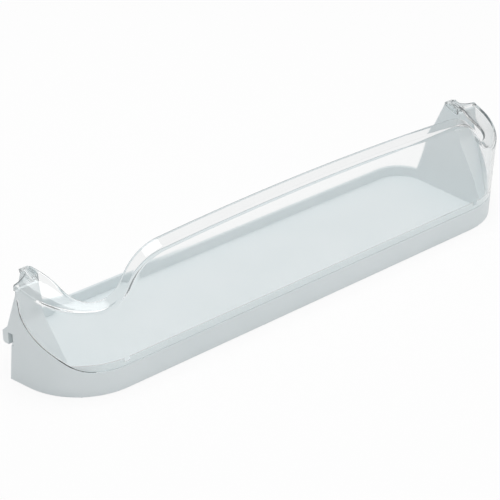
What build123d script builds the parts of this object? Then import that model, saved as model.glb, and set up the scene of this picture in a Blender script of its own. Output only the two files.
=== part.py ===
from build123d import *
import os
from math import acos, asin, cos, radians, sin, sqrt, tan

# Fridge door shelf: a white moulded tray with a clear front guard that laps over its rim.
# X runs along the shelf, Y from the front to the door, Z up. The origin is on the underside,
# in the middle of the length and of the depth. Sizes are in millimetres, angles in degrees.

# overall sizes: length over the hooks, depth at the crown of the guard, height of its outer edge
length = 482.0
depth = 125.6
crown = 112.0

# outer skin of the front, the round corners and the end cheeks
lean = 3.0
flare = 10.0
corner_radius = 56.5
wall = 2.4
floor_thickness = 3.0
foot_bevel = 1.2
edge_bevel = 0.7

# seam between tray and guard: level along the front, swept up along the cheeks,
# through points given as distance back from the front foot and height
seam_height = 20.5
sweep_low = (21.0, 31.0)
sweep_high = (49.0, 56.0)

# lap joint: a thin tongue of the tray stands up behind the foot of the guard
lap_height = 6.5
lap_thickness = 1.2
fit_gap = 0.15

# nibs of the guard that sit in notches of the tongue and keep it from sliding
nib_inset = 58.0
nib_width = 5.0
nib_height = 3.2

# narrow rear part that goes between the ridges of the door
bay_inset = 28.0
bay_lean = 4.0
bay_radius = 25.0
lip_height = 12.3

# end panels and the ramps that step out from them to the cheeks:
# distances back from the front foot, heights above the underside
end_top = 78.6
ramp_foot = 12.2
ramp_back = 52.5
ramp_slope = 53.9
ramp_radius = 10.0
panel_shoulder = (71.3, 83.0)

# rear edge of the end panels: a waist just ahead of the round corners of the bay, then the drop to the lip
waist_lead = 1.47
waist_height = 39.0
waist_drop = 7.0

# hooks behind the cheeks, open downwards
cheek_foot = 64.8
cheek_edge = 61.3
hook_start = 59.4
hook_gap = 4.7
hook_thickness = 5.3
hook_width = 12.0
hook_tip = 31.0
hook_throat = 41.0
hook_head = 46.0
hook_bevel = 1.5

# top of the guard, from the middle to the ends
guard_wall = 2.2
arch_radius = 2400.0
shoulder_inset = 91.0
shoulder_radius = 36.0
dip_radius = 29.0
dip = 71.5
end_rise = 12.0
end_blend = 0.08
rim_width = 10.0
rim_rise = 3.6
rim_dish = 0.3
rim_round = 4.2

# flanges at the ends of the guard: the rim grows wide and hollow round the corners
flange_width = 21.5
flange_rise = 4.8
flange_dish = 2.6
flange_round = 1.4
flange_turn = 13.0
flange_start = 28.0
flange_full = 75.0
flange_back = 54.7

# hoods under the flanges that ride on the tops of the end panels
hood_wall = 2.0
hood_lap = 1.2
hood_front_height = 83.4
hood_peak = (64.0, 86.5)
hood_tail = (70.3, 84.4)
hood_heel = 69.3
hood_round = 1.5

# values worked out from the sizes above
front = -depth / 2 + crown * tan(radians(lean))
rear = depth / 2
bay_half = length / 2 - bay_inset
hook_front = hook_start + hook_gap
hook_back = hook_front + hook_thickness
bend_height = (ramp_back - ramp_foot) * tan(radians(ramp_slope))
bay_corner = rear - front - lip_height * tan(radians(bay_lean)) - bay_radius - wall
panel_waist = bay_corner - waist_lead
tongue_top = seam_height + lap_height
nib_place = length / 2 - nib_inset
reach = length + depth


def skin_front(level):
    """Y of the outer skin of the leaning front at a height."""
    return front - level * tan(radians(lean))


def skin_half(level):
    """Half of the length where the flared cheeks would meet the front at a height."""
    return length / 2 - (front + hook_back - skin_front(level)) * tan(radians(flare))


def shelf_plan(level, inset=0.0):
    """Plan of the outer skin at a height, run on past the back, drawn in by an inset."""
    y = skin_front(level)
    half = skin_half(level)
    back = y + 2 * depth
    back_half = half + 2 * depth * tan(radians(flare))
    with BuildSketch(Plane.XY.offset(level)) as plan:
        with BuildLine():
            Polyline((half, y), (back_half, back), (-back_half, back), (-half, y), close=True)
        make_face()
        fillet(plan.vertices().group_by(Axis.Y)[0], radius=corner_radius)
        if inset > 0:
            offset(amount=-inset)
    return plan.sketch


def skin_body(top, inset=0.0, foot=0.0):
    """Solid inside the outer skin, up to a height, drawn in by an inset, with a bevelled foot."""
    with BuildPart() as body:
        if foot > 0:
            add(shelf_plan(0, inset + foot))
            add(shelf_plan(foot, inset))
            loft(ruled=True)
        add(shelf_plan(foot, inset))
        add(shelf_plan(top, inset))
        loft(ruled=True)
    return body.part


def bay_body(inset=0.0):
    """Solid of the rear part, run forward past the front, drawn in by an inset."""
    half = bay_half + wall - inset
    back = rear - lip_height * tan(radians(bay_lean)) - inset
    with BuildPart() as body:
        with BuildSketch() as plan:
            with BuildLine():
                Polyline((half, 2 * front), (half, back), (-half, back), (-half, 2 * front), close=True)
            make_face()
            fillet(plan.vertices().group_by(Axis.Y)[-1], radius=bay_radius + wall - inset)
        extrude(amount=crown, taper=-bay_lean)
    return body.part


def side_cut(points, gap=0.0):
    """Bar along the whole length whose side view joins points measured from the front foot."""
    with BuildPart() as bar:
        with BuildSketch(Plane.YZ):
            with BuildLine():
                Polyline(*[(front + y, z) for y, z in points], close=True)
            make_face()
            if gap > 0:
                offset(amount=gap, kind=Kind.INTERSECTION)
        extrude(amount=reach, both=True)
    return bar.part


def nib_zone(gap=0.0):
    """Blocks round the two nibs, from the foot of the nibs up, grown by a gap."""
    with BuildPart() as zone:
        with BuildSketch(Plane.XY.offset(tongue_top - nib_height - gap)):
            with Locations((-nib_place, front), (nib_place, front)):
                Rectangle(nib_width + 2 * gap, 4 * wall)
        extrude(amount=nib_height + 2 * gap)
    return zone.part


def seam_cut(above, gap=0.0):
    """Everything above or below the seam, which a gap moves forward and up."""
    points = [(0, seam_height), sweep_low, sweep_high, (ramp_back, end_top)]
    seam = [(front + y - gap, z + gap) for y, z in points]
    far = reach if above else -reach
    far_corners = [(reach, seam[-1][1]), (reach, far), (-reach, far), (-reach, seam[0][1])]
    with BuildPart() as half_space:
        with BuildSketch(Plane.YZ):
            with BuildLine():
                Spline(*seam, tangents=((1, 0), (0, 1)))
                Polyline(seam[-1], *far_corners, seam[0])
            make_face()
        extrude(amount=reach, both=True)
    return half_space.part


# side view of the end panels and the rear lip
panel_side = [
    (ramp_foot, 0),
    (ramp_back, bend_height),
    (ramp_back, end_top),
    panel_shoulder,
    (panel_waist, waist_height),
    (panel_waist + waist_drop, lip_height),
    (2 * depth, lip_height),
    (2 * depth, 0),
]

# rear lip and end panels: a leaning wall round the bay, cut to its side view, with a bevelled free edge
with BuildPart() as bay_wall:
    add(bay_body())
    add(bay_body(wall), mode=Mode.SUBTRACT)
    add(side_cut(panel_side), mode=Mode.INTERSECT)
    add(skin_body(crown), mode=Mode.INTERSECT)
    tops = bay_wall.faces().filter_by(lambda face: face.normal_at().Z > 0.2 and face.normal_at().Y > -0.5)
    chamfer(tops.edges().filter_by(lambda edge: edge.length > 2 * wall), length=edge_bevel)

# ramps that step the end walls out from the panels to the cheeks
with BuildPart() as ramps:
    with BuildSketch(Plane.YZ):
        with BuildLine():
            ramp_corners = [(ramp_foot, 0), (ramp_back, bend_height), (ramp_back, end_top)]
            FilletPolyline(*[(front + y, z) for y, z in ramp_corners], radius=ramp_radius)
            offset(amount=wall, side=Side.RIGHT)
        make_face()
    extrude(amount=reach, both=True)
    add(skin_body(crown, lap_thickness), mode=Mode.INTERSECT)
    add(bay_body(wall), mode=Mode.SUBTRACT)

# hooks behind the cheeks, open downwards over the pegs of the door
with BuildPart() as hooks:
    hook_side = [
        (ramp_back, end_top),
        (hook_front, hook_head),
        (hook_back, hook_throat),
        (hook_back, hook_tip + hook_bevel),
        (hook_back - hook_bevel, hook_tip),
        (hook_front, hook_tip),
        (hook_front, hook_throat),
        (hook_start, hook_throat),
        (ramp_back, bend_height),
    ]
    add(side_cut(hook_side))
    add(skin_body(crown), mode=Mode.INTERSECT)
    with BuildSketch():
        Rectangle(length - 2 * hook_width, 2 * reach)
    extrude(amount=crown, mode=Mode.SUBTRACT)

# floor between the end panels, from the rear lip to the front
with BuildPart() as floor:
    add(bay_body())
    add(skin_body(crown, lap_thickness), mode=Mode.INTERSECT)
    with BuildSketch():
        Rectangle(2 * reach, 2 * reach)
    extrude(amount=floor_thickness, mode=Mode.INTERSECT)

# the white tray: outer skin below the seam, tongue of the lap joint, floor, rear wall, ramps, hooks
with BuildPart() as tray:
    add(skin_body(crown, foot=foot_bevel))
    add(seam_cut(above=True), mode=Mode.SUBTRACT)
    add(skin_body(tongue_top, lap_thickness))
    add(nib_zone(fit_gap), mode=Mode.SUBTRACT)
    add(skin_body(crown, wall), mode=Mode.SUBTRACT)
    cheek_rear = [
        (cheek_foot, 0),
        (cheek_edge, hook_tip),
        (hook_start, hook_tip),
        (hook_start, hook_throat),
        (hook_front, hook_throat),
        (hook_front, hook_head),
        (ramp_back, end_top),
        (2 * depth, end_top),
        (2 * depth, 0),
    ]
    add(side_cut(cheek_rear), mode=Mode.SUBTRACT)
    add(floor.part)
    add(bay_wall.part)
    add(ramps.part)
    add(hooks.part)

# arcs of the guard's outer rim edge: a flat arch, a round shoulder, then a round dip
shoulder = length / 2 - shoulder_inset
shoulder_slope = asin(shoulder / arch_radius)
upper_x = shoulder - shoulder_radius * sin(shoulder_slope)
upper_z = crown - shoulder**2 / (2 * arch_radius) - shoulder_radius * cos(shoulder_slope)
turn_slope = acos((dip + dip_radius - upper_z) / (shoulder_radius + dip_radius))
turn_x = upper_x + shoulder_radius * sin(turn_slope)
lower_x = turn_x + dip_radius * sin(turn_slope)


def corner_point(angle, level):
    """Point of the outer skin on the right corner, at an angle from the front and a height."""
    centre_x = skin_half(level) - corner_radius * (1 - sin(radians(flare))) / cos(radians(flare))
    centre_y = skin_front(level) + corner_radius
    return centre_x + corner_radius * sin(angle), centre_y - corner_radius * cos(angle)


corner_end = radians(90 - flare)
dip_angle = asin((lower_x - corner_point(0, dip)[0]) / corner_radius)
dip_y = corner_point(dip_angle, dip)[1]


def rim_height(x, y):
    """Height of the guard's outer rim edge at a point of its plan."""
    if x <= shoulder:
        return crown - x**2 / (2 * arch_radius)
    if x <= turn_x:
        return upper_z + sqrt(shoulder_radius**2 - (x - upper_x) ** 2)
    if x <= lower_x:
        return dip + dip_radius - sqrt(dip_radius**2 - (lower_x - x) ** 2)
    share = (y - dip_y) / (front + flange_back - dip_y)
    return dip + end_rise * share**2 * (1 + end_blend) / (share + end_blend)


def smooth_step(share):
    """Ease from 0 to 1."""
    share = min(1, max(0, share))
    return share * share * (3 - 2 * share)


def guard_stations():
    """Side, share of the front, corner angle and share of the cheek for each section, left to right."""
    front_count = 12
    corner_count = 12
    cheek_count = 4
    crowding = 1.8
    half = [(1 - (1 - (i + 0.5) / front_count) ** crowding, 0, 0) for i in range(front_count)]
    half += [(1, corner_end * i / corner_count, 0) for i in range(corner_count + 1)]
    half += [(1, corner_end, (i + 1) / cheek_count) for i in range(cheek_count)]
    return [(-1, *station) for station in reversed(half)] + [(1, *station) for station in half]


def station_point(station, level):
    """Point of the outer skin at a station and a height."""
    side, share, angle, run = station
    x, y = corner_point(angle, level)
    slide = run * (front + flange_back - corner_point(corner_end, dip + end_rise)[1])
    return Vector(side * (x * share + slide * tan(radians(flare))), y + slide, level)


def guard_section(station):
    """Section of the guard at a station: a wall that turns in at the top into the rim or flange."""
    side, share, angle, run = station
    foot = station_point(station, 0)
    slant = station_point(station, 1) - foot
    turn = angle - radians(flange_turn) * run**2
    inward = Vector(-side * sin(turn), cos(turn), 0)
    plane = Plane(foot, x_dir=inward, z_dir=inward.cross(slant))
    dip_point = station_point(station, dip)
    height = rim_height(abs(dip_point.X), dip_point.Y)
    grow = smooth_step((angle - radians(flange_start)) / radians(flange_full - flange_start))
    width = rim_width + (flange_width - rim_width) * grow
    rise = rim_rise + (flange_rise - rim_rise) * grow
    dish = rim_dish + (flange_dish - rim_dish) * grow
    bend = rim_round + (flange_round - rim_round) * grow
    crease = Vector(slant.dot(inward), slant.dot(plane.y_dir)) * height
    along = Vector(width, rise)
    down = Vector(rise, -width).normalized()
    tip = crease + along
    middle = crease + along / 2 + down * dish
    inner = crease + Vector(guard_wall, guard_wall * (rise - along.length) / width)
    with BuildSketch(plane) as section:
        with BuildLine():
            Polyline(inner, (guard_wall, 0), (0, 0), crease)
            ThreePointArc(crease, middle, tip)
            Line(tip, tip + down * guard_wall)
            ThreePointArc(tip + down * guard_wall, middle + down * guard_wall, inner)
        make_face()
        fillet(section.vertices().sort_by_distance(crease)[0], radius=bend)
    return section.sketch


# hoods: short walls over the tops of the end panels, open below
with BuildPart() as hoods:
    hood_front = ramp_back + wall + fit_gap
    hood_side = [
        (hood_front, end_top - hood_lap),
        (hood_front, hood_front_height),
        hood_peak,
        hood_tail,
        (hood_heel, panel_shoulder[1] - hood_lap),
    ]
    add(bay_body(-fit_gap - hood_wall))
    add(bay_body(wall + fit_gap + hood_wall), mode=Mode.SUBTRACT)
    add(side_cut(hood_side), mode=Mode.INTERSECT)
    tail_y = front + hood_tail[0]
    tails = hoods.edges().filter_by(Axis.X).filter_by_position(Axis.Y, tail_y - fit_gap, tail_y + fit_gap)
    fillet(tails, radius=hood_round)

# room for the wall of the bay inside the hoods
with BuildPart() as hood_slots:
    add(bay_body(-fit_gap))
    add(bay_body(wall + fit_gap), mode=Mode.SUBTRACT)
    add(side_cut(panel_side, fit_gap), mode=Mode.INTERSECT)

# hollow of the hoods above the panels, which leaves their roof and front as thin as their sides
with BuildPart() as hood_hollows:
    hollow_side = [
        (hood_front + hood_wall, end_top - hood_lap),
        (hood_front + hood_wall, hood_front_height - hood_wall),
        (hood_peak[0], hood_peak[1] - hood_wall),
        (hood_tail[0] - hood_wall, hood_tail[1] - hood_wall),
        (hood_tail[0] - hood_wall, end_top - hood_lap),
    ]
    add(bay_body(-fit_gap))
    add(bay_body(wall + fit_gap), mode=Mode.SUBTRACT)
    add(side_cut(hollow_side), mode=Mode.INTERSECT)

# room for the tongue of the tray behind the foot of the guard, between the nibs
with BuildPart() as rebate:
    add(skin_body(tongue_top + fit_gap, lap_thickness - fit_gap))
    add(nib_zone(), mode=Mode.SUBTRACT)

# the clear guard: a long lofted wall, cut along the seam, rebated for the tongue, with its hoods
with BuildPart() as guard:
    for station in guard_stations():
        add(guard_section(station))
    loft()
    add(seam_cut(above=False, gap=fit_gap), mode=Mode.SUBTRACT)
    add(rebate.part, mode=Mode.SUBTRACT)
    add(hoods.part)
    add(hood_slots.part, mode=Mode.SUBTRACT)
    add(hood_hollows.part, mode=Mode.SUBTRACT)

os.makedirs("parts", exist_ok=True)
tray.part.label = "tray"
export_step(tray.part, "parts/tray.step")
guard.part.label = "front_guard"
export_step(guard.part, "parts/front_guard.step")
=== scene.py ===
# %% [markdown]
# A fridge door shelf: a white moulded tray with a clear front guard that laps over its rim.
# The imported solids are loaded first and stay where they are. Everything after that is about
# how the two mouldings look: the light, the two plastics, and the fine form of the clear one.

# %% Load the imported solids
from math import acos, asin, atan2, ceil, cos, pi, radians, sin, sqrt, tan

import bmesh
import bpy
import numpy as np
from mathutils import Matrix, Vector
from mathutils.geometry import intersect_line_line_2d


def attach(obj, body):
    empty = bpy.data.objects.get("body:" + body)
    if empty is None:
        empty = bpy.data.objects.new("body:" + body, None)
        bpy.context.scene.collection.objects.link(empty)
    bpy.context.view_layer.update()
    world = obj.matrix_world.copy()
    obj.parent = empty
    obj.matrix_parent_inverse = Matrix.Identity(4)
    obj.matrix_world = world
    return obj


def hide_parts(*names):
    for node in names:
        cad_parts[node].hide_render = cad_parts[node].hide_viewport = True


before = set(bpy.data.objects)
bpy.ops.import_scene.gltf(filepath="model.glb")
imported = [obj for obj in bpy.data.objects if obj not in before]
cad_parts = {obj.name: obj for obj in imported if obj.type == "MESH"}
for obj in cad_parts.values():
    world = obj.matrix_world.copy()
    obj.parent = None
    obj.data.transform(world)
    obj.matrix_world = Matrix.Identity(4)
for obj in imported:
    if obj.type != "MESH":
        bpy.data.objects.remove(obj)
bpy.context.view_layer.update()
mm = 0.001
print("nodes:", sorted(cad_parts))

# %% [markdown]
# Colours are written as sRGB hex values, the way a colour card gives them. Blender works in
# linear light, so one function turns a hex value into linear numbers. A second small function
# adds a node to a tree with its settings and links, which keeps every material short to read.

# %% Two helpers for node trees
def linear(hex_colour):
    """Linear RGBA of an sRGB hex colour."""
    channels = [int(hex_colour[i : i + 2], 16) / 255 for i in (0, 2, 4)]
    return [c / 12.92 if c <= 0.04045 else ((c + 0.055) / 1.055) ** 2.4 for c in channels] + [1.0]


def add_node(tree, kind, settings=None, links=None, values=None):
    """Add a node with its settings, links from outputs to its sockets, and values in its sockets."""
    node = tree.nodes.new(kind)
    for name, value in (settings or {}).items():
        setattr(node, name, value)
    for name, value in (values or {}).items():
        node.inputs[name].default_value = value
    for name, output in (links or {}).items():
        tree.links.new(output, node.inputs[name])
    return node


print("white card:", [round(c, 3) for c in linear("FFFFFF")])

# %% [markdown]
# The photograph looks down on the left end of the shelf through a long lens. The camera stands
# where lines drawn through the tray's edges meet, so it needs no lens shift. A long lens from
# far away keeps the far end nearly as large as the near one, as in a catalogue picture.

# %% Camera
camera_place = Vector((-0.7915, -0.8870, 0.6825))
camera_aim = Vector((0.5754, 0.6586, -0.4848))
camera_data = bpy.data.cameras.new("camera")
camera_data.sensor_width = 36.0
camera_data.lens = 122.7
camera_data.clip_start = 0.05
camera = bpy.data.objects.new("camera", camera_data)
camera.location = camera_place
camera.rotation_euler = camera_aim.to_track_quat("-Z", "Y").to_euler()
bpy.context.scene.collection.objects.link(camera)
bpy.context.scene.camera = camera
print("camera at", [round(v, 3) for v in camera_place])

# %% [markdown]
# The floor is a plain white sheet. Rays from the camera, and rays that come through the clear
# plastic or mirror in it, see mostly white with a little of the real shading, so the shadow
# stays. Light that bounces sees an ordinary pale floor. Lighting the floor to white instead
# would need so much light that the white tray burns out.

# %% Floor
floor_half = 15.0
shaded_share = 0.12


def white_floor():
    """Material of the floor: nearly white to the eye, an ordinary pale surface to the light."""
    material = bpy.data.materials.new("studio_floor")
    material.use_nodes = True
    tree = material.node_tree
    tree.nodes.clear()
    path = add_node(tree, "ShaderNodeLightPath")
    seen = add_node(tree, "ShaderNodeMath", {"operation": "MAXIMUM"},
                    {0: path.outputs["Is Camera Ray"], 1: path.outputs["Is Glossy Ray"]})
    seen = add_node(tree, "ShaderNodeMath", {"operation": "MAXIMUM"},
                    {0: seen.outputs[0], 1: path.outputs["Is Transmission Ray"]})
    card = add_node(tree, "ShaderNodeBsdfDiffuse", values={"Color": linear("F4F4F4")})
    glow = add_node(tree, "ShaderNodeEmission", values={"Color": linear("FFFFFF"), "Strength": 1.0})
    bright = add_node(tree, "ShaderNodeMixShader", links={1: glow.outputs[0], 2: card.outputs[0]},
                      values={"Fac": shaded_share})
    both = add_node(tree, "ShaderNodeMixShader",
                    links={"Fac": seen.outputs[0], 1: card.outputs[0], 2: bright.outputs[0]})
    add_node(tree, "ShaderNodeOutputMaterial", links={"Surface": both.outputs[0]})
    return material


floor_signs = ((-1, -1), (1, -1), (1, 1), (-1, 1))
floor_corners = [(x * floor_half, y * floor_half, 0) for x, y in floor_signs]
floor_mesh = bpy.data.meshes.new("floor")
floor_mesh.from_pydata(floor_corners, [], [(0, 1, 2, 3)])
floor_mesh.materials.append(white_floor())
floor = bpy.data.objects.new("floor", floor_mesh)
bpy.context.scene.collection.objects.link(floor)
print("floor", 2 * floor_half, "m wide")

# %% [markdown]
# One softbox hangs over the shelf and a little behind it, so the tray's floor is the brightest
# part and the front band is a shade darker. It is narrow along the shelf, which keeps its mirror
# image off most of the guard's long rim.

# %% Softbox
softbox_place = (0.0, 0.1, 1.5)
softbox_size = (0.9, 1.6)
softbox_power = 9.8


def soft_lamp(name, place, aim, size, power):
    """Rectangular area lamp that points at a place."""
    data = bpy.data.lights.new(name, "AREA")
    data.shape = "RECTANGLE"
    data.size, data.size_y = size
    data.energy = power
    lamp = bpy.data.objects.new(name, data)
    lamp.location = place
    lamp.rotation_euler = (Vector(aim) - Vector(place)).to_track_quat("-Z", "Y").to_euler()
    bpy.context.scene.collection.objects.link(lamp)
    return lamp


soft_lamp("overhead_softbox", softbox_place, (0, 0, 0), softbox_size, softbox_power)

# %% [markdown]
# The world gives the rest of the light from all round. It is darker at the horizon than overhead,
# most of all to the left and behind: clear plastic has no colour of its own, and its edges only
# show where they bend something darker into view. The camera itself sees the world as white,
# like the floor.

# %% World
sky_strength = 0.66
sky_up = (0.12, -0.12, 1.0)
sky_low = 0.02
sky_high = 0.35
world = bpy.data.worlds.new("studio")
world.use_nodes = True
bpy.context.scene.world = world
sky = world.node_tree
place_in_sky = add_node(sky, "ShaderNodeTexCoord")
height_in_sky = add_node(sky, "ShaderNodeVectorMath", {"operation": "DOT_PRODUCT"},
                         {0: place_in_sky.outputs["Generated"]}, {1: sky_up})
fade = add_node(sky, "ShaderNodeValToRGB", links={"Fac": height_in_sky.outputs["Value"]})
fade.color_ramp.elements[0].position = sky_low
fade.color_ramp.elements[0].color = linear("A8A8A8")
fade.color_ramp.elements[1].position = sky_high
fade.color_ramp.elements[1].color = linear("FFFFFF")
sky.links.new(fade.outputs["Color"], sky.nodes["Background"].inputs["Color"])
sky.nodes["Background"].inputs["Strength"].default_value = sky_strength
backdrop = add_node(sky, "ShaderNodeBackground", values={"Color": linear("FFFFFF"), "Strength": 1.0})
eye = add_node(sky, "ShaderNodeLightPath")
seen_sky = add_node(sky, "ShaderNodeMixShader",
                    links={"Fac": eye.outputs["Is Camera Ray"], 1: sky.nodes["Background"].outputs[0],
                           2: backdrop.outputs[0]})
sky.links.new(seen_sky.outputs[0], sky.nodes["World Output"].inputs["Surface"])
bpy.context.scene.view_settings.view_transform = "Standard"
print("world:", world.name, "with", len(sky.nodes), "nodes")

# %% [markdown]
# Both mouldings meet at the seam, so a few sizes belong to both. They are the sizes of the solid
# model, in millimetres. The front leans, and distances towards the door start at its foot: the
# ramps of the tray end first, then the guard's flanges, and the hoods stand just behind them.

# %% Sizes of the whole shelf
length = 482.0
depth = 125.6
crown = 112.0
lean = radians(3.0)
front = -depth / 2 + crown * tan(lean)
seam_height = 20.5
tongue_top = 27.0
fit_gap = 0.15
tray_wall = 2.4
ramp_back = 52.5
end_top = 78.6
flange_back = 54.7
hood_front = ramp_back + tray_wall + fit_gap
print("front foot at", round(front, 2), "mm")

# %% [markdown]
# The tray is injection moulded in white polystyrene. Such a moulding is not one flat colour:
# it is a cold white, a touch uneven where the melt flowed, and its skin copies the fine spark
# texture of the mould, which spreads the highlights. A noise of a few centimetres tints the
# colour, and a noise of under a millimetre roughens the skin and lifts it by a few microns. The
# tongue behind the guard's foot is so thin that light comes through it. That light is painted
# into its colour as a lighter white, a painted glow, which fades out as the tongue turns the corners.

# %% White polystyrene
flow_size = 45.0
grain_size = 0.8
grain_height = 0.02
tongue_bright = 3.0
tongue_plain = 11.0


def white_polystyrene():
    """Moulded white polystyrene with a satin, slightly textured skin."""
    material = bpy.data.materials.new("white_polystyrene")
    material.use_nodes = True
    tree = material.node_tree
    shader = tree.nodes["Principled BSDF"]
    shader.inputs["IOR"].default_value = 1.59
    place = add_node(tree, "ShaderNodeTexCoord")
    flow = add_node(tree, "ShaderNodeTexNoise", links={"Vector": place.outputs["Object"]},
                    values={"Scale": 1 / (flow_size * mm), "Detail": 2.0})
    tint = add_node(tree, "ShaderNodeValToRGB", links={"Fac": flow.outputs["Fac"]})
    tint.color_ramp.elements[0].position = 0.3
    tint.color_ramp.elements[0].color = linear("E0E8EA")
    tint.color_ramp.elements[1].position = 0.7
    tint.color_ramp.elements[1].color = linear("E4EBED")
    axes = add_node(tree, "ShaderNodeSeparateXYZ", links={0: place.outputs["Object"]})
    # painted glow: the share of it is full on the tongue above the seam, near the front
    above_seam = add_node(tree, "ShaderNodeMapRange", links={"Value": axes.outputs["Z"]},
                          values={"From Min": seam_height * mm,
                                  "From Max": (seam_height + fit_gap) * mm})
    in_front = add_node(tree, "ShaderNodeMapRange", links={"Value": axes.outputs["Y"]},
                        values={"From Min": (front + tongue_plain) * mm,
                                "From Max": (front + tongue_bright) * mm})
    painted_glow_share = add_node(tree, "ShaderNodeMath", {"operation": "MULTIPLY"},
                    {0: above_seam.outputs["Result"], 1: in_front.outputs["Result"]})
    # painted glow: the tongue's colour is lifted to a lighter white where light comes through
    painted_glow_colour = add_node(tree, "ShaderNodeMix", {"data_type": "RGBA"},
                   {0: painted_glow_share.outputs[0], 6: tint.outputs["Color"]}, {7: linear("EEF8FA")})
    tree.links.new(painted_glow_colour.outputs[2], shader.inputs["Base Color"])
    grain = add_node(tree, "ShaderNodeTexNoise", links={"Vector": place.outputs["Object"]},
                     values={"Scale": 1 / (grain_size * mm), "Detail": 1.0})
    satin = add_node(tree, "ShaderNodeMapRange", links={"Value": grain.outputs["Fac"]},
                     values={"To Min": 0.36, "To Max": 0.46})
    tree.links.new(satin.outputs["Result"], shader.inputs["Roughness"])
    skin = add_node(tree, "ShaderNodeBump", links={"Height": grain.outputs["Fac"]},
                    values={"Strength": 0.25, "Distance": grain_height * mm})
    tree.links.new(skin.outputs["Normal"], shader.inputs["Normal"])
    return material


tray_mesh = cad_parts["tray"].data
tray_mesh.materials.clear()
tray_mesh.materials.append(white_polystyrene())
print("tray finish:", tray_mesh.materials[0].name)

# %% [markdown]
# The guard is moulded in clear polystyrene, polished in the mould, so it is nearly a mirror on
# both sides and bends light more than window glass. A very faint haze from the mould keeps its
# highlights from being razor sharp. The hoods are not polished: they are matt, and their colour is
# greyed as painted shade that darkens them.
# Real clear plastic lets the room light the tray behind it. A ray tracer would need many bounces
# to find that light, so for shadow rays and for light that scatters off the tray the plastic is
# swapped for a clear filter. Rays that run to and fro inside the sheet would end in black, so
# after a few mirrorings a grey filter lets them out.

# %% Clear polystyrene
haze_size = 12.0
hood_roughness = 0.22
most_mirrorings = 3


def clear_polystyrene():
    """Clear polystyrene that lets the lamps shine through: polished, with matt hoods."""
    material = bpy.data.materials.new("clear_polystyrene")
    material.use_nodes = True
    tree = material.node_tree
    shader = tree.nodes["Principled BSDF"]
    shader.inputs["IOR"].default_value = 1.57
    shader.inputs["Transmission Weight"].default_value = 1.0
    place = add_node(tree, "ShaderNodeTexCoord")
    haze = add_node(tree, "ShaderNodeTexNoise", links={"Vector": place.outputs["Object"]},
                    values={"Scale": 1 / (haze_size * mm), "Detail": 2.0})
    polish = add_node(tree, "ShaderNodeMapRange", links={"Value": haze.outputs["Fac"]},
                      values={"To Min": 0.015, "To Max": 0.05})
    axes = add_node(tree, "ShaderNodeSeparateXYZ", links={0: place.outputs["Object"]})
    on_hood = add_node(tree, "ShaderNodeMapRange", links={"Value": axes.outputs["Y"]},
                       values={"From Min": (front + flange_back) * mm,
                               "From Max": (front + hood_front) * mm})
    # painted shade: the hoods' colour is greyed to darken them
    hood_painted_shade = add_node(tree, "ShaderNodeValToRGB", links={"Fac": on_hood.outputs["Result"]})
    hood_painted_shade.color_ramp.elements[0].color = linear("F7F8F8")
    hood_painted_shade.color_ramp.elements[1].color = linear("E2E7E8")
    tree.links.new(hood_painted_shade.outputs["Color"], shader.inputs["Base Color"])
    finish = add_node(tree, "ShaderNodeMath", {"operation": "MULTIPLY_ADD"},
                      {0: on_hood.outputs["Result"], 2: polish.outputs["Result"]}, {1: hood_roughness})
    tree.links.new(finish.outputs[0], shader.inputs["Roughness"])
    path = add_node(tree, "ShaderNodeLightPath")
    lost = add_node(tree, "ShaderNodeMath", {"operation": "GREATER_THAN"},
                    {0: path.outputs["Glossy Depth"]}, {1: most_mirrorings - 0.5})
    faint = add_node(tree, "ShaderNodeBsdfTransparent", values={"Color": linear("949A9C")})
    clear = add_node(tree, "ShaderNodeBsdfTransparent", values={"Color": linear("FFFFFF")})
    inside = add_node(tree, "ShaderNodeMixShader",
                      links={"Fac": lost.outputs[0], 1: shader.outputs[0], 2: faint.outputs[0]})
    bounce = add_node(tree, "ShaderNodeMixShader",
                      links={"Fac": path.outputs["Is Diffuse Ray"], 1: inside.outputs[0],
                             2: clear.outputs[0]})
    both = add_node(tree, "ShaderNodeMixShader",
                    links={"Fac": path.outputs["Is Shadow Ray"], 1: bounce.outputs[0],
                           2: clear.outputs[0]})
    tree.links.new(both.outputs[0], tree.nodes["Material Output"].inputs["Surface"])
    return material


clear_plastic = clear_polystyrene()
print("guard finish:", clear_plastic.name)

# %% [markdown]
# The guard's form follows one rule. It is a sheet of even thickness that stands on the tray's
# rim, folds inward at the top into a narrow rim, and grows round the corners into a wide,
# hollow flange. The top edge is a flat arch that drops over a round shoulder into a dip and
# rises again towards the door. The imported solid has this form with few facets. Clear plastic
# shows every facet as a streak, so the sheet is made again here as a fine mesh, from the same
# sizes in millimetres, with the edge of the rim rounded as a polished mould leaves it.

# %% Sizes of the guard
flare = radians(10.0)
corner_radius = 56.5
hook_back = 69.4
arch_radius = 2400.0
shoulder_inset = 91.0
shoulder_radius = 36.0
dip_radius = 29.0
dip = 71.5
end_rise = 12.0
end_blend = 0.08
corner_end = pi / 2 - flare
print("corners of", corner_radius, "mm radius")

# %% [markdown]
# Seen from above, the guard is a straight front with a round corner at each end and cheeks that
# flare outward. Seen from the front, the arch, the shoulder and the dip are arcs that run
# smoothly into each other: where the shoulder hands over to the dip, both have the same slope,
# and that slope follows from the heights of the two centres.

# %% Plan and rim line of the guard
shoulder = length / 2 - shoulder_inset
shoulder_slope = asin(shoulder / arch_radius)
upper_x = shoulder - shoulder_radius * sin(shoulder_slope)
upper_z = crown - shoulder**2 / (2 * arch_radius) - shoulder_radius * cos(shoulder_slope)
turn_slope = acos((dip + dip_radius - upper_z) / (shoulder_radius + dip_radius))
turn_x = upper_x + shoulder_radius * sin(turn_slope)
lower_x = turn_x + dip_radius * sin(turn_slope)


def corner_point(angle, level):
    """Point of the outer skin on the right corner, at an angle from the front and a height."""
    half = length / 2 - (hook_back + level * tan(lean)) * tan(flare)
    centre_x = half - corner_radius * (1 - sin(flare)) / cos(flare)
    centre_y = front - level * tan(lean) + corner_radius
    return centre_x + corner_radius * sin(angle), centre_y - corner_radius * cos(angle)


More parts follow.
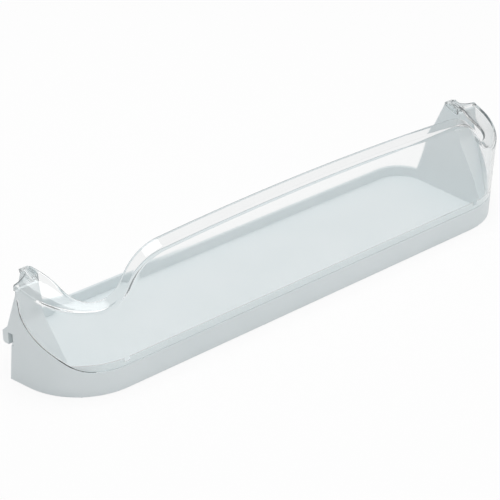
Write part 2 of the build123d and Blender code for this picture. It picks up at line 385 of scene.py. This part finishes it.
dip_angle = asin((lower_x - corner_point(0, dip)[0]) / corner_radius)
dip_y = corner_point(dip_angle, dip)[1]
cheek_run = front + flange_back - corner_point(corner_end, dip + end_rise)[1]


def rim_height(x, y):
    """Height of the fold line over the plan: arch, shoulder, dip, then the rise to the door."""
    if x <= shoulder:
        return crown - x**2 / (2 * arch_radius)
    if x <= turn_x:
        return upper_z + sqrt(shoulder_radius**2 - (x - upper_x) ** 2)
    if x <= lower_x:
        return dip + dip_radius - sqrt(dip_radius**2 - (lower_x - x) ** 2)
    share = (y - dip_y) / (front + flange_back - dip_y)
    return dip + end_rise * share**2 * (1 + end_blend) / (share + end_blend)


print("rim: middle", rim_height(0, front), "dip", dip, "end", dip + end_rise, "mm high")

# %% [markdown]
# The foot of the guard follows the seam with the tray. Seen from the side, the seam leaves the
# front level, sweeps up along the cheek and ends upright. A cubic curve through four points,
# smooth in slope and bend, gives it: two unknown directions in the middle follow from a small
# set of equations, and the two ends are given.

# %% Seam seen from the side
sweep_low = (21.0, 31.0)
sweep_high = (49.0, 56.0)
seam_end = (ramp_back, end_top)
level_pull = 1.31
upright_pull = 1.51
seam_steps = 60


def seam_line():
    """Dense points of the guard's lower edge: distance from front to back, and height."""
    knots = np.array([(0, seam_height), sweep_low, sweep_high, seam_end]) + (front - fit_gap, fit_gap)
    runs = np.linalg.norm(np.diff(knots, axis=0), axis=1)
    first, middle, last = 1 / runs
    slopes = (knots[1:] - knots[:-1]) / runs[:, None] ** 2
    start = np.array((level_pull, 0.0))
    end = np.array((0.0, upright_pull))
    sums = [3 * (slopes[0] + slopes[1]) - start * first, 3 * (slopes[1] + slopes[2]) - end * last]
    inner = np.linalg.solve([[2 * (first + middle), middle], [middle, 2 * (middle + last)]], sums)
    ways = [start, inner[0], inner[1], end]
    share = np.linspace(0, 1, seam_steps)[:, None]
    across = share**2 * (3 - 2 * share)
    leaving = share * (1 - share) ** 2
    arriving = share**2 * (share - 1)
    pieces = []
    for i, run in enumerate(runs):
        straight = knots[i] + (knots[i + 1] - knots[i]) * across
        pieces.append(straight + (ways[i] * leaving + ways[i + 1] * arriving) * run)
    return np.vstack(pieces)


seam = seam_line()


def seam_level(y):
    """Height of the guard's lower edge at a distance from front to back."""
    return float(np.interp(y, seam[:, 0], seam[:, 1]))


print("seam from", round(seam_level(front), 2), "to", round(seam_level(0), 2), "mm high")

# %% [markdown]
# The section of the sheet is a wall, a fold and a rim, all of one thickness. Each is a line or
# an arc, and the inner side uses the same centres as the outer one, so the thickness stays the
# same round the fold. The fold of the flange is sharper than the sheet is thick, so there the
# inner corner keeps a least radius of its own. Points are found by how far up the wall they lie
# and how deep in the sheet. The width, rise and dish of the rim grow into those of the flange.
# Where the wall crosses the seam is found by halving a stretch of it again and again.

# %% Section of the sheet
guard_wall = 2.2
rim_width = 10.0
rim_rise = 3.6
rim_dish = 0.3
rim_round = 4.2
flange_width = 21.5
flange_rise = 4.8
flange_dish = 2.6
flange_round = 1.4
least_round = 0.4
wall_steps = 14
fold_steps = 10
rim_steps = 12
flange_turn = radians(13.0)
flange_start = radians(28.0)
flange_full = radians(75.0)
halvings = 40


def smooth_step(share):
    """Ease from 0 to 1."""
    share = min(1, max(0, share))
    return share * share * (3 - 2 * share)


def spread(low, high, steps):
    """Even steps from low towards high, without the last."""
    return [low + (high - low) * i / steps for i in range(steps)]


def unit(angle):
    """Direction at an angle."""
    return Vector((cos(angle), sin(angle)))


class Section:
    """The sheet cut across at one station along the guard."""

    def __init__(self, side, share, angle, run):
        """Left or right, share of the front, angle round the corner, share of the cheek."""
        x, y = corner_point(angle, 0)
        slide = run * cheek_run
        self.foot = Vector((side * (x * share + slide * tan(flare)), y + slide, 0))
        slant = Vector((-side * share * tan(lean) * tan(flare), -tan(lean), 1))
        turn = angle - flange_turn * run**2
        self.inward = Vector((-side * sin(turn), cos(turn), 0))
        self.upright = (slant - self.inward * slant.dot(self.inward)).normalized()
        at_dip = self.foot + slant * dip
        grow = smooth_step((angle - flange_start) / (flange_full - flange_start))
        width = rim_width + (flange_width - rim_width) * grow
        rise = rim_rise + (flange_rise - rim_rise) * grow
        dish = rim_dish + (flange_dish - rim_dish) * grow
        self.round = rim_round + (flange_round - rim_round) * grow
        wall = Vector((slant.dot(self.inward), slant.dot(self.upright)))
        crease = wall * rim_height(abs(at_dip.x), at_dip.y)
        self.wall = wall.normalized()
        self.inner_side = Vector((self.wall.y, -self.wall.x))
        chord = Vector((width, rise))
        self.bowl = chord.length**2 / (8 * dish) + dish / 2
        down = Vector((rise, -width)) / chord.length
        self.bowl_centre = crease + chord / 2 - down * (self.bowl - dish)
        to_tip = crease + chord - self.bowl_centre
        self.fold_from = atan2(-self.inner_side.y, -self.inner_side.x) % (2 * pi)
        self.rim_end = atan2(to_tip.y, to_tip.x) - guard_wall / 2 / self.bowl

    def fold(self, deep):
        """Fold at a depth in the sheet: reach where the wall ends, centre, radius and last angle."""
        centre_deep = max(self.round, deep + least_round)
        away = self.inner_side * centre_deep - self.bowl_centre
        along = away.dot(self.wall)
        start = -along - sqrt(along**2 - away.length_squared + (self.bowl + centre_deep) ** 2)
        centre = self.inner_side * centre_deep + self.wall * start
        to_bowl = self.bowl_centre - centre
        return start, centre, centre_deep - deep, atan2(to_bowl.y, to_bowl.x)

    def on_wall(self, reach, deep):
        """Point in the plane of the section, at a reach up the wall and a depth in the sheet."""
        return self.inner_side * deep + self.wall * reach

    def over(self, deep, step):
        """Points at a depth, from a step up the wall, round the fold and along the rim."""
        start, centre, radius, fold_to = self.fold(deep)
        points = [self.on_wall(reach, deep) for reach in spread(step, start, wall_steps)]
        angles = spread(self.fold_from, fold_to, fold_steps)
        points += [centre + unit(angle) * radius for angle in angles]
        angles = spread(fold_to - pi, self.rim_end, rim_steps) + [self.rim_end]
        return points + [self.bowl_centre + unit(angle) * (self.bowl + deep) for angle in angles]

    def place(self, point):
        """Point in space of a point in the plane of the section."""
        return self.foot + self.inward * point.x + self.upright * point.y

    def cut(self, deep, level_of):
        """Reach at which the wall rises above a level that depends on its place."""
        low, high = 0.0, self.fold(deep)[0]
        for _ in range(halvings):
            middle = (low + high) / 2
            point = self.place(self.on_wall(middle, deep))
            low, high = (low, middle) if point.z > level_of(point.y) else (middle, high)
        return high


middle_section = Section(1, 0, 0, 0)
print("wall", round(middle_section.fold(0)[0], 1), "mm up the outer side, bowl radius",
      round(middle_section.bowl, 1), "mm")

# %% [markdown]
# Each station gives a closed ring of points: up the outer side, round the rim's edge, down the
# inner side, and over the step that makes room for the tray's tongue. All rings have the same
# count of points. The first and last few get a little thinner along a quarter circle, which takes
# the sharp edge off the square ends of the flanges.

# %% Rings along the guard
lap_thickness = 1.2
edge_steps = 5
least_step = 0.02


def ring(section, fullness):
    """Closed ring of points round the sheet, thinned about its middle by a fullness from 0 to 1."""
    def deep(share):
        """Depth in the sheet at a share of its thickness."""
        return guard_wall * (0.5 + (share - 0.5) * fullness)

    def side(depth_share, foot_share):
        """Points from the foot to the rim's edge, at a depth, over a foot that may lie less deep."""
        foot = section.cut(deep(foot_share), seam_level)
        top = max(tongue_top + fit_gap, section.place(section.on_wall(foot, 0)).z + least_step)
        step = section.cut(deep(depth_share), lambda y: top)
        low = [section.on_wall(foot, deep(foot_share)), section.on_wall(step, deep(foot_share))]
        return low + section.over(deep(depth_share), step)

    outer = side(0, 0)
    inner = side(1, (lap_thickness - fit_gap) / guard_wall)
    # the outer side has no step, so the point there lies halfway up
    outer[1] = outer[0].lerp(outer[2], 0.5)
    centre = (outer[-1] + inner[-1]) / 2
    across = outer[-1] - centre
    ahead = Vector((across.y, -across.x))
    turns = [pi * i / edge_steps for i in range(1, edge_steps)]
    edge = [centre + across * cos(turn) + ahead * sin(turn) for turn in turns]
    return [section.place(point) for point in outer + edge + inner[::-1]]


front_spacing = 2.5
corner_spacing = 2.0
cheek_steps = 8
end_steps = 3
end_round = 0.3


def stations():
    """Side, share of the front, corner angle, share of the cheek and fullness, from left to right."""
    front_count = ceil(corner_point(0, dip)[0] / front_spacing)
    corner_count = ceil(corner_radius * corner_end / corner_spacing)
    last = 1 - end_round / cheek_run
    half = [((i + 0.5) / front_count, 0, 0, 1) for i in range(front_count)]
    half += [(1, corner_end * i / corner_count, 0, 1) for i in range(corner_count)]
    half += [(1, corner_end, last * i / cheek_steps, 1) for i in range(cheek_steps + 1)]
    thinning = 2 * end_round / guard_wall
    turns = [pi / 2 * (i + 1) / end_steps for i in range(end_steps)]
    half += [(1, corner_end, last + (1 - last) * sin(t), 1 - thinning * (1 - cos(t))) for t in turns]
    return [(-1, *station) for station in reversed(half)] + [(1, *station) for station in half]


rings = [ring(Section(*station[:4]), station[4]) for station in stations()]
ring_size = len(rings[0])
print(len(rings), "rings of", ring_size, "points")

# %% [markdown]
# Neighbouring rings join into quads. A point on the outer side has its partner on the inner
# side, and the strip between partners closes each end. On the cheeks the step for the tongue
# runs out and its points fall nearly together, so points that meet are welded.

# %% Sheet of the guard
weld = 0.002


def mesh_object(name, points, faces):
    """Object with a closed mesh from points in millimetres, its faces turned outward."""
    mesh = bpy.data.meshes.new(name)
    mesh.from_pydata([Vector(point) * mm for point in points], [], faces)
    shape = bmesh.new()
    shape.from_mesh(mesh)
    bmesh.ops.remove_doubles(shape, verts=shape.verts, dist=weld * mm)
    bmesh.ops.recalc_face_normals(shape, faces=shape.faces)
    shape.to_mesh(mesh)
    shape.free()
    piece = bpy.data.objects.new(name, mesh)
    bpy.context.scene.collection.objects.link(piece)
    return piece


faces = []
for row in range(len(rings) - 1):
    for i in range(ring_size):
        a, b = row * ring_size + i, row * ring_size + (i + 1) % ring_size
        faces.append((a, b, b + ring_size, a + ring_size))
for base in (0, (len(rings) - 1) * ring_size):
    for i in range(ring_size // 2 - 1):
        faces.append((base + i, base + i + 1, base + ring_size - 2 - i, base + ring_size - 1 - i))
guard = mesh_object("clear_guard", [point for points in rings for point in points], faces)
print("sheet:", len(guard.data.polygons), "faces")

# %% [markdown]
# Behind each flange stands a small hood, a cap that rides on the top of the tray's end panel. It
# is a flat block that leans with the panel and is cut to its side view. A slot takes the panel
# with a gap all round, and goes on above it as a hollow, which leaves the hood's roof and front as
# thin as its sides. A side view has points in millimetres: the distance behind the front's foot,
# and the height.

# %% Side views of the hoods
bay_inset = 28.0
bay_half = length / 2 - bay_inset
bay_lean = radians(4.0)
panel_shoulder = (71.3, 83.0)
panel_waist = (90.0, 39.0)
hood_wall = 2.0
hood_lap = 1.2
hood_front_height = 83.4
hood_peak = (64.0, 86.5)
hood_tail = (70.3, 84.4)
hood_heel = 69.3
hood_round = 1.5
hood_steps = 3


def rounded(before, corner, after):
    """Points of an arc that rounds off a corner between two neighbours."""
    corner = Vector(corner)
    back = (Vector(before) - corner).normalized()
    ahead = (Vector(after) - corner).normalized()
    half = back.angle(ahead) / 2
    centre = corner + (back + ahead).normalized() * hood_round / sin(half)
    first = corner + back * hood_round / tan(half) - centre
    last = corner + ahead * hood_round / tan(half) - centre
    shares = [i / hood_steps for i in range(hood_steps + 1)]
    return [centre + first.slerp(last, share).normalized() * hood_round for share in shares]


def grown(line):
    """Line of points moved to its left by the gap, with its corners kept sharp."""
    points = [Vector(point) for point in line]
    ways = [(b - a).normalized() for a, b in zip(points, points[1:])]
    lefts = [Vector((-way.y, way.x)) for way in ways]
    lefts = [lefts[0]] + lefts + [lefts[-1]]
    return [p + (a + b) * fit_gap / (1 + a.dot(b)) for p, a, b in zip(points, lefts, lefts[1:])]


hood_foot = (hood_heel, panel_shoulder[1] - hood_lap)
hood_side = [(hood_front, end_top - hood_lap), (hood_front, hood_front_height), hood_peak]
hood_side += rounded(hood_peak, hood_tail, hood_foot) + [hood_foot]
room_start, room_shoulder, room_waist = grown([(ramp_back, end_top), panel_shoulder, panel_waist])
hollow_foot = Vector((hood_front + hood_wall, end_top - hood_lap))
hollow_front = Vector((hood_front + hood_wall, hood_front_height - hood_wall))
hollow_peak = Vector(hood_peak) - Vector((0, hood_wall))
hollow_tail = Vector(hood_tail) - Vector((hood_wall, hood_wall))
enter = intersect_line_line_2d(hollow_foot, hollow_front, room_start, room_shoulder)
leave = intersect_line_line_2d(hollow_peak, hollow_tail, room_start, room_shoulder)
slot_side = [room_start, enter, hollow_front, hollow_peak, leave, room_shoulder, room_waist,
             (room_start.x, room_waist.y)]
print("side views: hood of", len(hood_side), "points, slot of", len(slot_side), "points")

# %% [markdown]
# Each side view becomes a pair of blocks, one over the left panel and one over the right. The
# hoods are wider than the panel by a gap and a wall each side, the slots only by the gap.

# %% Hoods and their slots
def leaning_blocks(name, side_view, margin):
    """Two blocks over the end panels, left and right, wider than the panel by a margin each side."""
    points, faces = [], []
    for side in (-1, 1):
        base = len(points)
        count = len(side_view)
        for offset in (bay_half - margin, bay_half + tray_wall + margin):
            points += [(side * (offset + z * tan(bay_lean)), front + y, z) for y, z in side_view]
        faces.append(tuple(range(base, base + count)))
        faces.append(tuple(range(base + 2 * count - 1, base + count - 1, -1)))
        for i in range(count):
            j = (i + 1) % count
            faces.append((base + i, base + j, base + count + j, base + count + i))
    return mesh_object(name, points, faces)


hoods = leaning_blocks("hoods", hood_side, fit_gap + hood_wall)
slots = leaning_blocks("slots", slot_side, fit_gap)
print("hoods:", len(hoods.data.polygons), "faces")

# %% [markdown]
# Two small nibs near the corners sit in notches of the tray's tongue and keep the guard from
# sliding along. They repeat, so Geometry Nodes place them, cut the hoods and join all of it to the
# sheet in one solid: overlapping clear pieces would show their hidden faces.

# %% Geometry Nodes that join the guard
def guard_tree():
    """Tree that cuts the hoods, adds them and the nibs to the sheet, and joins them."""
    tree = bpy.data.node_groups.new("join_guard", "GeometryNodeTree")
    sockets = {}
    for name, kind in (("Sheet", "Geometry"), ("Hoods", "Object"), ("Slots", "Object"),
                       ("Nib size", "Vector"), ("First nib", "Vector"), ("Nib spacing", "Vector"),
                       ("Material", "Material")):
        socket = tree.interface.new_socket(name, in_out="INPUT", socket_type="NodeSocket" + kind)
        sockets[name] = socket.identifier
    tree.interface.new_socket("Guard", in_out="OUTPUT", socket_type="NodeSocketGeometry")
    given = add_node(tree, "NodeGroupInput").outputs
    block = add_node(tree, "GeometryNodeMeshCube", links={"Size": given["Nib size"]})
    line = add_node(tree, "GeometryNodeMeshLine", {"mode": "OFFSET"},
                    {"Start Location": given["First nib"], "Offset": given["Nib spacing"]},
                    {"Count": 2})
    nibs = add_node(tree, "GeometryNodeInstanceOnPoints",
                    links={"Points": line.outputs["Mesh"], "Instance": block.outputs["Mesh"]})
    hood = add_node(tree, "GeometryNodeObjectInfo", links={"Object": given["Hoods"]})
    slot = add_node(tree, "GeometryNodeObjectInfo", links={"Object": given["Slots"]})
    capped = add_node(tree, "GeometryNodeMeshBoolean", {"operation": "DIFFERENCE", "solver": "EXACT"},
                      {"Mesh 1": hood.outputs["Geometry"], "Mesh 2": slot.outputs["Geometry"]})
    joined = add_node(tree, "GeometryNodeMeshBoolean", {"operation": "UNION", "solver": "EXACT"})
    for output in (given["Sheet"], nibs.outputs["Instances"], capped.outputs["Mesh"]):
        tree.links.new(output, joined.inputs["Mesh 2"])
    whole = add_node(tree, "GeometryNodeRealizeInstances", links={"Geometry": joined.outputs["Mesh"]})
    dressed = add_node(tree, "GeometryNodeSetMaterial",
                       links={"Geometry": whole.outputs["Geometry"], "Material": given["Material"]})
    add_node(tree, "NodeGroupOutput", links={"Guard": dressed.outputs["Geometry"]})
    return tree, sockets


tree, sockets = guard_tree()
print("tree of", len(tree.nodes), "nodes")

# %% [markdown]
# The tree is given the blocks, and the size and place of the nibs. A nib reaches a little way
# into the sheet in front and above, so that nothing only touches, and stops just short of the
# sheet's back. The tree runs once as a modifier. Its result is kept as a plain mesh, and the
# blocks that it was made from are removed.

# %% Join the guard
nib_inset = 58.0
nib_place = length / 2 - nib_inset
nib_width = 5.0
nib_height = 3.2
nib_bite = 0.2
nib_root = 0.4
nib_short = 0.05
join = guard.modifiers.new("join", "NODES")
join.node_group = tree
nib_back = guard_wall - nib_short
nib_front = lap_thickness - fit_gap - nib_bite
nib_foot = tongue_top - nib_height
nib_head = tongue_top + fit_gap + nib_root
nib_level = (nib_foot + nib_head) / 2
nib_y = front - nib_level * tan(lean) + (nib_front + nib_back) / 2
for name, value in (("Hoods", hoods), ("Slots", slots), ("Material", clear_plastic),
                    ("Nib size", Vector((nib_width, nib_back - nib_front, nib_head - nib_foot)) * mm),
                    ("First nib", Vector((-nib_place, nib_y, nib_level)) * mm),
                    ("Nib spacing", Vector((2 * nib_place, 0, 0)) * mm)):
    join[sockets[name]] = value

bpy.context.view_layer.update()
plain = bpy.data.meshes.new_from_object(guard.evaluated_get(bpy.context.evaluated_depsgraph_get()))
guard.modifiers.remove(join)
guard.data = plain
for helper in (hoods, slots):
    bpy.data.objects.remove(helper)
print("guard:", len(plain.polygons), "faces")

# %% [markdown]
# The joined mesh is cleaned: points closer than a few microns are merged, a sliver that is left
# hanging over a closed skin is taken away, and edges sharper than about a third of a right angle
# are marked sharp, so the curved faces shade smoothly and the steps stay crisp. It then stands in
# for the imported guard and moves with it.

# %% Finish the guard
sharp_angle = radians(32)
joint_weld = 0.004
shape = bmesh.new()
shape.from_mesh(plain)
bmesh.ops.remove_doubles(shape, verts=shape.verts, dist=joint_weld * mm)
bmesh.ops.dissolve_degenerate(shape, edges=shape.edges, dist=joint_weld * mm)
slivers = [face for face in shape.faces if any(edge.is_boundary for edge in face.edges)]
bmesh.ops.delete(shape, geom=slivers, context="FACES")
for face in shape.faces:
    face.smooth = True
for edge in shape.edges:
    edge.smooth = len(edge.link_faces) == 2 and edge.calc_face_angle(pi) < sharp_angle
open_edges = sum(1 for edge in shape.edges if len(edge.link_faces) != 2)
shape.to_mesh(plain)
shape.free()
guard.name = "clear_guard"
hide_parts("front_guard")
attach(guard, "root")
print("guard:", len(plain.polygons), "faces,", open_edges, "open edges, materials",
      [m.name for m in plain.materials])
